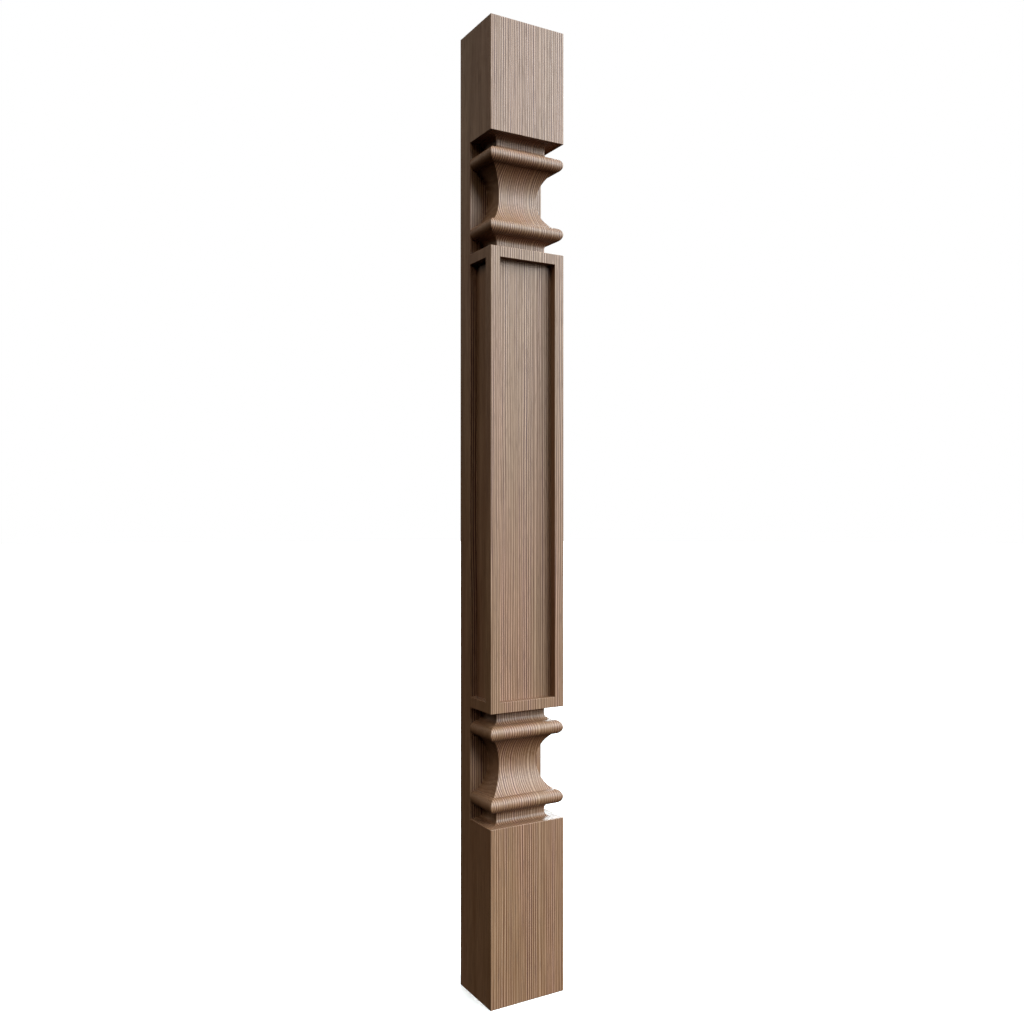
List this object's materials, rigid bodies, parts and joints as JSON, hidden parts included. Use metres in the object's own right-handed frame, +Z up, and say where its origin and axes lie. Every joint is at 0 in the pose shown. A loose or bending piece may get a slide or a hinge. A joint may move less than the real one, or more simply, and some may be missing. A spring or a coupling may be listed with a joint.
{
  "type": "pilaster",
  "caption": "Slim flat-backed timber pilaster with plain end blocks, moulded necks and a shaft with sunk panels on the front and both sides.",
  "frame": {"origin": "centre of the underside", "axes": "+Z up the post, +X to the right seen from the front, +Y towards the flat back; the moulded front faces -Y"},
  "size_m": [0.0762, 0.0582, 0.8763],
  "materials": {
    "stained_timber": "satin, grey-brown stain over straight grain"
  },
  "bodies": {
    "root": {"pilaster": "stained_timber"}
  },
  "joints": []
}
